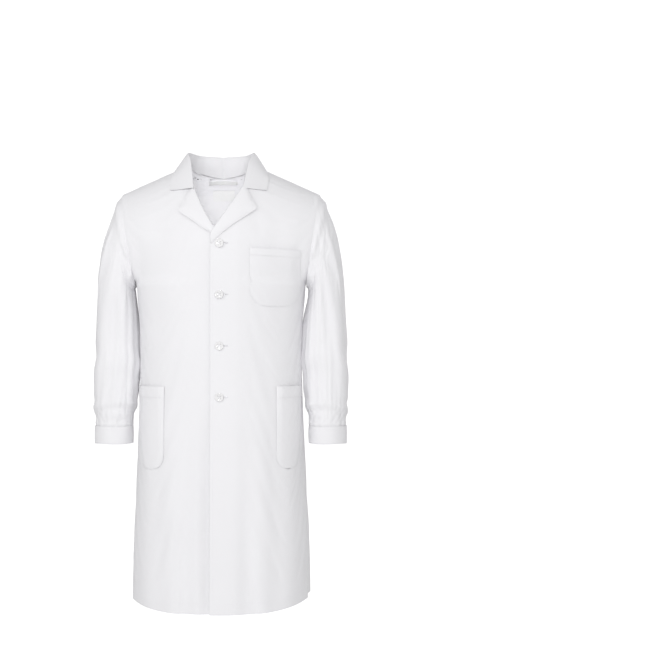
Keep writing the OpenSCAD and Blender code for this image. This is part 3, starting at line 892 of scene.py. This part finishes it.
for side in ("left", "right"):
    g = lapel_grid(side)
    n = outward(g[:, 6:], normals_of(g)[:, 6:], np.array([0, 0, 0.88]))
    n = normals_of(g) * np.sign(np.sum(n * normals_of(g)[:, 6:]))
    obj = shell("lapel_panel_" + side, to_side(g, side), to_side(n, side), 0.0011, CLOTH_MAT)
    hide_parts("lapel_" + side)
    bend_front(obj)
    inset = 21      # column about 6 mm in from the edge
    line = np.concatenate([g[4:, inset], g[-3, 20:8:-1]])
    norm = np.concatenate([n[4:, inset], n[-3, 20:8:-1]])
    stitch("lapel_stitches_" + side, to_side(line, side), to_side(norm, side))


# ---- Collar ----
COLLAR_T = [0, 0.25, 0.5, 0.75, 1]
FOOT = np.array([[0, 0.0570, 0.9868], [0.044, 0.0468, 0.9950], [0.0715, 0.004, 1.0085], [0.0665, -0.040, 0.998],
                 [0.0545, -0.0900, 0.9475]])
RIDGE = np.array([[0, 0.063, 1.0405], [0.049, 0.049, 1.0425], [0.0755, 0.002, 1.0455], [0.0675, -0.043, 1.022],
                  [0.0565, -0.0965, 0.9535]])
LEAF = np.array([[0, 0.086, 0.998], [0.064, 0.066, 1.001], [0.101, 0.004, 1.0065], [0.112, -0.0455, 0.9870],
                 [0.1095, -0.0815, 0.9520]])


def chaikin(points, passes):
    """Rounds the corners of a row of points, and keeps its ends."""
    for _ in range(passes):
        a, b = points[:-1], points[1:]
        cut = np.stack([0.75 * a + 0.25 * b, 0.25 * a + 0.75 * b], axis=1).reshape((-1,) + points.shape[1:])
        points = np.concatenate([points[:1], cut[1:-1], points[-1:]])
    return points


def collar_grid():
    """Columns from the neck seam over the fold to the leaf's edge, rows from the back to the notch."""
    t = np.linspace(0, 1, 61)
    keys = np.array(COLLAR_T)
    foot, ridge, leaf = (curve_through(keys, k, t) for k in (FOOT, RIDGE, LEAF))
    high = ridge + np.array([0, 0, 0.0022])
    lean = (leaf - foot) / np.linalg.norm(leaf - foot, axis=1, keepdims=True)
    # The leaf's front lower edge runs straight from the notch to the corner
    sag = ridge * 0.35 + leaf * 0.65 + lean * 0.004 * np.sin(math.pi * np.clip(t * 1.1, 0, 1))[:, None]
    control = np.stack([foot, foot * 0.45 + ridge * 0.55, high - lean * 0.0012, high + lean * 0.0042,
                        sag, leaf])
    section = chaikin(control, 3)
    return np.moveaxis(section, 0, 1)


collar = collar_grid()
for side in ("left", "right"):
    n = normals_of(collar)
    ref = np.array([0, 0, 0.9])
    n = n * np.sign(np.sum((collar[:, -6:] - ref) * n[:, -6:]))
    g = collar + n * (0.0006 * np.sin(np.linspace(0, 9, len(collar)))[:, None, None])
    obj = shell("collar_" + side, to_side(g, side), to_side(n, side), 0.0016, CLOTH_MAT)
    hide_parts("top_collar", "under_collar")
    bend_collar(obj)
    edge = -4
    line = np.concatenate([g[:, edge], g[-2, -4:-14:-1]])
    norm = np.concatenate([n[:, edge], n[-2, -4:-14:-1]])
    stitch("collar_stitches_" + side, to_side(line, side), to_side(norm, side))


# ---- Inside the back of the neck ----
def neck_inside(x, z, d):
    """Points d inside the back at distance x from the middle and height z."""
    s = row_at(np.abs(x), z)
    a0 = angle_at(back_edge_x(s), s)
    a1 = np.where(s <= 1, math.pi / 2, angle_at(side_x(s), s))
    u = np.clip((angle_at(np.abs(x), s) - a0) / (a1 - a0), 0, 1)
    v = np.interp(s, row_list(), np.linspace(0, 1, len(row_list())))
    p, n = back_panel.at(u, v, np.full((1, 1), -d))
    p[..., 0] = np.where(x < 0, -p[..., 0], p[..., 0])
    n[..., 0] = np.where(x < 0, -n[..., 0], n[..., 0])
    return p, n


NECK_LINE = back_panel.p[:, 0]      # the back's own edge, up the middle seam and round the neck
cols = np.linspace(-1, 1, 49)[None, :] * 0.064
top = np.interp(np.abs(cols), NECK_LINE[NECK_LINE[:, 0] > 0.002][:, 0],
                NECK_LINE[NECK_LINE[:, 0] > 0.002][:, 2]) - 0.0008
p, n = neck_inside(cols + 0 * np.linspace(0, 1, 20)[:, None], 0.955 + (top - 0.955) * np.linspace(0, 1, 20)[:, None],
                   0.0022)
obj = shell("neck_facing", p, n, CLOTH, SHADED_INSIDE_MAT)
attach(obj, "torso")
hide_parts("back_neck_facing")

lo, hi = (np.array(v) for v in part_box("neck_label"))
xx, zz = np.meshgrid(np.linspace(lo[0], hi[0], 19), np.linspace(lo[2], hi[2], 9) - HEM_Z)
g, n = neck_inside(xx, zz, 0.0034)
obj = shell("blank_label", g, -n, 0.0005, TAPE_MAT)
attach(obj, "torso")
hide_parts("neck_label")

lo, hi = (np.array(v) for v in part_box("hanger_loop"))
cols = np.linspace(-1, 1, 41)
tape = np.stack([hi[0] * cols, hi[1] - (hi[1] - lo[1] - 0.0014) * np.cos(math.pi / 2 * cols) ** 0.7 - MIDDLE_Y,
                 0 * cols], axis=1)
rows = np.linspace(lo[2], hi[2], 7) - HEM_Z
g = np.stack([tape + [0, 0, z] for z in rows])
g[..., 2] += 0.0004 * np.sin(9 * g[..., 0] / hi[0])
n = normals_of(g)
n = n * -np.sign(n[3, 20][1])
obj = shell("loop_tape", g, n, 0.0011, TAPE_MAT)
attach(obj, "torso")
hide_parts("hanger_loop")


# ---- Pockets ----
def pocket_grid(side, x0, x1, z_top, height, corner, slack, slope=0.0, flare=0.0):
    """A patch pocket on a front: rounded lower corners, edges sewn down, and a slack middle."""
    panel = fronts[side]
    w = np.linspace(0, 1, 61)[:, None]
    u = np.linspace(0, 1, 49)[None, :]
    z = z_top - height * (1 - w)
    up = height * w
    k = np.clip(1 - up / corner, 0, 1)
    pull = corner * (1 - np.sqrt(np.maximum(0, 1 - k ** 2)))
    low, high = x0 + pull - flare * (1 - w), x1 - pull
    x = low + (high - low) * u
    z = z + slope * (u - 0.5) * smoothstep(0.3, 1, w)
    edge = np.minimum(np.minimum(u, 1 - u) * 2, 1)
    bulge = slack * np.minimum(1, edge * 2.6) ** 0.6 * np.minimum(1, w * 3.2) ** 0.7
    bulge = bulge * (0.55 + 0.45 * smoothstep(0.2, 1.0, w))
    return panel.xz(x, z, 0.0007 + CLOTH + bulge)


def pocket_stitches(name, side, p, n, inset=3):
    """Rows of stitches round the sewn sides and the bottom, and along the mouth's hem."""
    rows, cols = p.shape[:2]
    outline = ([(j, 1) for j in range(rows - 1, 1, -1)] + [(1, i) for i in range(1, cols - 1)]
               + [(j, cols - 2) for j in range(2, rows)])
    mouth = [(rows - 1 - inset * 2, i) for i in range(1, cols - 1)]
    for path in (outline, mouth):
        q = np.array([p[j, i] for j, i in path])
        m = np.array([n[j, i] for j, i in path])
        stitch(name, to_side(q, side), to_side(m, side))


POCKETS = [
    # name, side, inner x, outer x, mouth height, height, corner, slack, slope of the mouth, nodes
    ("chest_patch", "left", 0.072, 0.184, 0.8165, 0.129, 0.040, 0.0036, -0.004, ("chest_pocket", "chest_pocket_edge")),
    ("hip_patch_left", "left", 0.131, 0.1845, 0.507, 0.188, 0.030, 0.0040, 0.0, ("hip_pocket_left",)),
    ("hip_patch_right", "right", 0.121, 0.1845, 0.507, 0.188, 0.030, 0.0040, 0.0, ("hip_pocket_right",)),
]
for name, side, x0, x1, z_top, height, corner, slack, slope, nodes in POCKETS:
    p, n0 = pocket_grid(side, x0, x1, z_top, height, corner, slack, slope)
    n = outward(p, normals_of(p), np.array([0, 0, 0.5]))
    obj = shell(name, to_side(p, side), to_side(n, side), 0.0009, CLOTH_MAT)
    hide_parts(*nodes)
    bend_front(obj)
    pocket_stitches(name + "_stitches", side, p, n)
    # the mouth's hem is folded to the outside as a band
    band_rows = slice(len(p) - (8 if name == "chest_patch" else 9), len(p))
    q, m = p[band_rows] + n[band_rows] * 0.0011, n[band_rows]
    band = shell(name + "_hem", to_side(q, side), to_side(m, side), 0.0008, CLOTH_MAT)
    bend_front(band)

# ---- Sleeves ----
for side in ("left", "right"):
    p, n = sleeves[side]
    cut = 2 * SPLIT_ROW
    for part, rows in (("upper", slice(0, cut + 1)), ("lower", slice(cut, None))):
        obj = shell("%s_sleeve_cloth_%s" % (part, side), to_side(p[rows], side), to_side(n[rows], side),
                    CLOTH, CLOTH_MAT, closed=True)
        nodes = ("upper_sleeve_", "elbow_sleeve_") if part == "upper" else ("elbow_sleeve_", "lower_sleeve_")
        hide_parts(*(q + side for q in nodes))
        flat_rows = slice(0, SPLIT_ROW + 1) if part == "upper" else slice(SPLIT_ROW, None)
        bend_sleeve(obj, side, part)
    ring = p[2] + n[2] * 0
    ring = np.concatenate([ring, ring[:1]])
    m = np.concatenate([n[2], n[2][:1]])
    stitch("armhole_stitches_" + side, to_side(ring, side), to_side(m, side))

# ---- Cuffs ----
CUFF_START, CUFF_LAP, CUFF_PITCH = math.radians(200), math.radians(36), 0.0032


def cuff_point(a, d, z):
    x0, x1, _, _, ry, cy = SLEEVE_STATIONS[-1]
    r = d + CUFF_PITCH * (a - CUFF_START) / (2 * math.pi) - 0.0005
    return np.stack([(x0 + x1) / 2 - ((x1 - x0) / 2 + r) * np.cos(a), cy - (ry + r) * np.sin(a), z + 0 * a], axis=-1)


for side in ("left", "right"):
    a = np.linspace(CUFF_START, CUFF_START + 2 * math.pi + CUFF_LAP, 120)[None, :]
    z = np.linspace(CUFF_LOW_Z, CUFF_TOP_Z + 0.001, 15)[:, None]
    swell = 0.0009 * np.sin(math.pi * (z - CUFF_LOW_Z) / (CUFF_TOP_Z - CUFF_LOW_Z)) * (0.6 + 0.4 * np.cos(7 * a))
    p = cuff_point(a + 0 * z, 0.0012 + swell, z + 0 * a + 0.0006 * np.sin(3 * a + 1))
    n = outward(p, normals_of(p), np.array([0.247, -0.014, 0.39]))
    obj = shell("cuff_band_" + side, to_side(p, side), to_side(n, side), 0.0016, CLOTH_MAT)
    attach(obj, "forearm_" + side)
    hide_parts("cuff_" + side)
    for row in (1, -3):
        stitch("cuff_stitches_" + side, to_side(p[row], side), to_side(n[row], side))
    stitch("cuff_stitches_" + side, to_side(p[1:-2, -4], side), to_side(n[1:-2, -4], side))


# ---- Buttons ----
def lathe(profile, sides=48):
    """A closed solid of revolution about z from (radius, height) points that start and end on the axis."""
    verts, faces = [(0, 0, profile[0][1])], []
    for r, h in profile[1:-1]:
        verts += [(r * math.cos(2 * math.pi * q / sides), r * math.sin(2 * math.pi * q / sides), h)
                  for q in range(sides)]
    verts.append((0, 0, profile[-1][1]))
    end = len(verts) - 1
    rings = len(profile) - 2
    for q in range(sides):
        b = (q + 1) % sides
        faces.append((0, 1 + b, 1 + q))
        for r in range(rings - 1):
            o = 1 + r * sides
            faces.append((o + q, o + b, o + sides + b, o + sides + q))
        o = 1 + (rings - 1) * sides
        faces.append((o + q, o + b, end))
    return verts, faces


def button(name, node, toward, slot_body):
    """A four-hole button where its CAD node is, with the thread crossed through its holes."""
    lo, hi = (Vector(v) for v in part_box(node))
    centre = (lo + hi) / 2
    axis = Vector(toward).normalized()
    flat = axis.cross(Vector((0, 0, 1))).normalized()
    radius = (hi.z - lo.z) / 2
    t = 0.0030 if radius > 0.009 else 0.0025
    r = radius
    profile = [(0, 0), (r * 0.78, 0), (r * 0.93, t * 0.18), (r, t * 0.50), (r * 0.985, t * 0.78),
               (r * 0.93, t * 0.97), (r * 0.86, t), (r * 0.76, t * 0.93), (r * 0.66, t * 0.72),
               (r * 0.58, t * 0.66), (0, t * 0.66)]
    verts, faces = lathe(profile)
    disc = mesh_object(name, verts, faces, BUTTON_MAT)
    spread = r * 0.26
    drills = []
    for sx in (-1, 1):
        for sy in (-1, 1):
            dv, df = lathe([(0, -0.002), (r * 0.095, -0.002), (r * 0.095, t + 0.002), (0, t + 0.002)], 20)
            drill = mesh_object("drill", [(x + sx * spread / 1.0, y + sy * spread, z) for x, y, z in dv], df, BUTTON_MAT)
            drills.append(drill)
    for drill in drills:
        cut = disc.modifiers.new("hole", "BOOLEAN")
        cut.operation = "DIFFERENCE"
        cut.solver = "EXACT"
        cut.object = drill
    bpy.context.view_layer.update()
    mesh = bpy.data.meshes.new_from_object(disc.evaluated_get(bpy.context.evaluated_depsgraph_get()))
    disc.modifiers.clear()
    old = disc.data
    disc.data = mesh
    bpy.data.meshes.remove(old)
    for drill in drills:
        data = drill.data
        bpy.data.objects.remove(drill)
        bpy.data.meshes.remove(data)
    up = axis.cross(flat)

    def world(p):
        return centre + flat * p[0] + up * p[1] + axis * (p[2] - t / 2)
    for v in disc.data.vertices:
        v.co = world(v.co)
    disc.data.update()
    if (axis.cross(flat)).cross(axis).dot(flat) < 0:
        disc.data.flip_normals()
    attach(disc, slot_body)
    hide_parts(node)
    # thread: two crossing straps over the dish, each an arched strand
    verts, faces = [], []
    sides = 8
    for sx, sy in ((1, 1), (1, -1)):
        path = []
        for q in np.linspace(-1, 1, 15):
            high = t * 0.66 + (0.0007 + 0.0003 * (sx == sy)) * (1 - q ** 6) - 0.0012 * (abs(q) ** 12)
            path.append(Vector((sx * spread * q, sy * spread * q, high)))
        for shift in (-0.0003, 0.0003):
            side_way = Vector((-sy, sx, 0)).normalized() * shift
            first = len(verts)
            for k, c in enumerate(path):
                ahead = (path[min(k + 1, 14)] - path[max(k - 1, 0)]).normalized()
                wide = ahead.cross(Vector((0, 0, 1))).normalized()
                tall = wide.cross(ahead)
                for q in range(sides):
                    angle = 2 * math.pi * q / sides
                    verts.append(world(c + side_way + (wide * math.cos(angle) + tall * math.sin(angle)) * 0.00033))
            for k in range(14):
                for q in range(sides):
                    o, b = first + k * sides, (q + 1) % sides
                    faces.append((o + q, o + b, o + sides + b, o + sides + q))
            faces.append(tuple(first + sides - 1 - q for q in range(sides)))
            faces.append(tuple(first + 14 * sides + q for q in range(sides)))
    thread = mesh_object(name + "_thread", verts, faces, THREAD_MAT)
    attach(thread, slot_body)
    return disc


for index in range(1, 5):
    button("button_face_%d" % index, "front_button_%d" % index, (0, -1, 0), "button_%d" % index)
for side in ("left", "right"):
    centre = (np.array(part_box("cuff_button_" + side)[0]) + np.array(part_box("cuff_button_" + side)[1])) / 2
    wrist = place(np.array([0.247 * SIGN[side], -0.014, 0.39]))
    way = centre - wrist
    way[2] = 0
    button("cuff_button_face_" + side, "cuff_button_" + side, tuple(way), "forearm_" + side)

# Thread shanks under the front buttons: a wound, waisted column
for index in range(1, 5):
    lo, hi = (Vector(v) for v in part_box("front_button_%d" % index))
    top = Vector(((lo.x + hi.x) / 2, hi.y, (lo.z + hi.z) / 2))
    verts, faces = lathe([(0, 0)] + [(0.0013 + 0.0004 * abs(1 - 2 * k / 12) + 0.00015 * (k % 2), 0.0075 * k / 12)
                                     for k in range(13)] + [(0, 0.0075)], 16)
    verts = [(top.x + x, top.y + h, top.z + y) for x, y, h in verts]
    shank = mesh_object("shank_%d" % index, verts, [f[::-1] for f in faces], THREAD_MAT)
    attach(shank, "right_front")
    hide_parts("button_threads")

# ---- Buttonholes ----
HOLE_L, HOLE_H = 0.0225, 0.0030
for index in range(1, 5):
    z0 = TOP_BUTTON_Z - (index - 1) * 0.115
    panel = fronts["left"]
    for row in (-1, 1):
        x = np.linspace(BUTTON_X - 0.0035, BUTTON_X - 0.0035 + HOLE_L, 60)
        for k, xc in enumerate(x):
            q, m = panel.xz(np.full(3, xc), z0 + row * np.array([0.0002, 0.0009, 0.0016]) * 1.0)
            stitch_lines.setdefault("buttonholes", []).append((q, m))


def hole_threads():
    """Close satin stitches on both lips of every buttonhole."""
    verts, faces = [], []
    for p, n in stitch_lines.pop("buttonholes"):
        a, b = p[0], p[-1]
        ahead = (b - a) / np.linalg.norm(b - a)
        across = np.cross(n[1], ahead)
        first = len(verts)
        for f, lift in ((0, 0.0001), (0.25, 0.00042), (0.75, 0.00042), (1, 0.0001)):
            for angle in (0, math.pi / 2, math.pi, 1.5 * math.pi):
                verts.append(a + (b - a) * f + n[1] * lift
                             + (across * math.cos(angle) + n[1] * math.sin(angle)) * 0.00021)
        for ring in range(3):
            for q in range(4):
                o, e = first + ring * 4, (q + 1) % 4
                faces.append((o + q, o + e, o + 4 + e, o + 4 + q))
        faces.append((first + 3, first + 2, first + 1, first))
        faces.append((first + 12, first + 13, first + 14, first + 15))
    obj = mesh_object("buttonhole_stitches", place(verts), faces, THREAD_MAT)
    return obj


holes = hole_threads()
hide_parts(*("buttonhole_%d" % q for q in range(1, 5)))
bend_front(holes)

# ---- Stitches: the cuff groups ride on the forearms, the back's on the torso, the rest are baked in place ----
for group in list(stitch_lines):
    obj = stitches_object(group)
    if group.startswith(("front", "lapel")):
        bend_front(obj)
    elif group.startswith("collar"):
        bend_collar(obj)
    elif group.startswith(("chest", "hip_patch_left")):
        bend_front(obj)
    elif group.startswith("hip_patch_right"):
        bend_front(obj)
    elif group.startswith("cuff"):
        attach(obj, "forearm_" + group.rsplit("_", 1)[1])
    elif group.startswith("armhole"):
        bend_sleeve(obj, group.rsplit("_", 1)[1], "upper")
    else:
        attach(obj, "torso")

# ---- Stage, light and camera ----
CAMERA_X = 0.2424     # the camera stands to the wearer's left of the coat
CAMERA_Z = 0.6445
DISTANCE = 3.2
VIEW_WIDTH = 1.517    # width of the view at the coat
scene = bpy.context.scene
scene.view_settings.view_transform = "Standard"
camera_data = bpy.data.cameras.new("camera")
camera_data.sensor_width = 36
camera_data.lens = 36 * DISTANCE / VIEW_WIDTH
camera = bpy.data.objects.new("camera", camera_data)
camera.location = place((CAMERA_X, -DISTANCE, CAMERA_Z))
camera.rotation_euler = (math.pi / 2, 0, 0)
scene.collection.objects.link(camera)
scene.camera = camera

stage_mat = bpy.data.materials.new("stage")
stage_mat.use_nodes = True
stage_shader = stage_mat.node_tree.nodes["Principled BSDF"]
stage_shader.inputs["Base Color"].default_value = (0.93, 0.93, 0.93, 1)
stage_shader.inputs["Roughness"].default_value = 0.9
stage_shader.inputs["Emission Color"].default_value = (1, 1, 1, 1)
stage_shader.inputs["Emission Strength"].default_value = 0.62
FLOOR_Z = HEM_Z - 0.42
SWEEP_WIDE, SWEEP_R = 6.0, 1.5     # radius of the studio, and of the curve up into its wall
SWEEP_SIDES = 64


def sweep():
    """A round floor that curves up into a wall on every side, so the coat can be seen from all round."""
    path = [(0.5, FLOOR_Z), (SWEEP_WIDE - SWEEP_R, FLOOR_Z)]
    for k in range(1, 13):
        turn = math.pi / 2 * k / 12
        path.append((SWEEP_WIDE - SWEEP_R + SWEEP_R * math.sin(turn), FLOOR_Z + SWEEP_R * (1 - math.cos(turn))))
    path.append((SWEEP_WIDE, FLOOR_Z + 6))
    verts = [(r * math.cos(a), r * math.sin(a), z) for r, z in path
             for a in (2 * math.pi * q / SWEEP_SIDES for q in range(SWEEP_SIDES))]
    faces = [(SWEEP_SIDES * k + q, SWEEP_SIDES * k + (q + 1) % SWEEP_SIDES,
              SWEEP_SIDES * (k + 1) + (q + 1) % SWEEP_SIDES, SWEEP_SIDES * (k + 1) + q)
             for k in range(len(path) - 1) for q in range(SWEEP_SIDES)]
    faces.append(tuple(range(SWEEP_SIDES))[::-1])
    return mesh_object("studio_sweep", verts, faces, stage_mat)


backdrop = sweep()
backdrop.visible_diffuse = False
backdrop.visible_shadow = False

world = bpy.data.worlds.new("studio")
world.use_nodes = True
background = world.node_tree.nodes["Background"]
background.inputs["Color"].default_value = (1, 1, 1, 1)
background.inputs["Strength"].default_value = 0.53
scene.world = world


def area_light(name, location, target, size, power):
    data = bpy.data.lights.new(name, "AREA")
    data.size = size
    data.energy = power
    obj = bpy.data.objects.new(name, data)
    obj.location = place(location)
    way = Vector(place(target)) - obj.location
    obj.rotation_euler = way.to_track_quat("-Z", "Y").to_euler()
    scene.collection.objects.link(obj)
    return obj


area_light("key", (-1.5, -2.2, 1.7), (0, 0, 0.50), 0.9, 9)
area_light("front", (0.15, -3.6, 1.05), (0, 0, 0.55), 1.2, 55)
back_light = area_light("back", (1.9, 3.0, 1.2), (0, 0, 0.50), 1.2, 22)
back_light.visible_camera = False
lining_light = area_light("inside", (0, -0.03, 0.60), (0, 0.07, 0.97), 0.12, 0.125)
lining_light.data.spread = math.radians(70)
lining_light.visible_camera = False
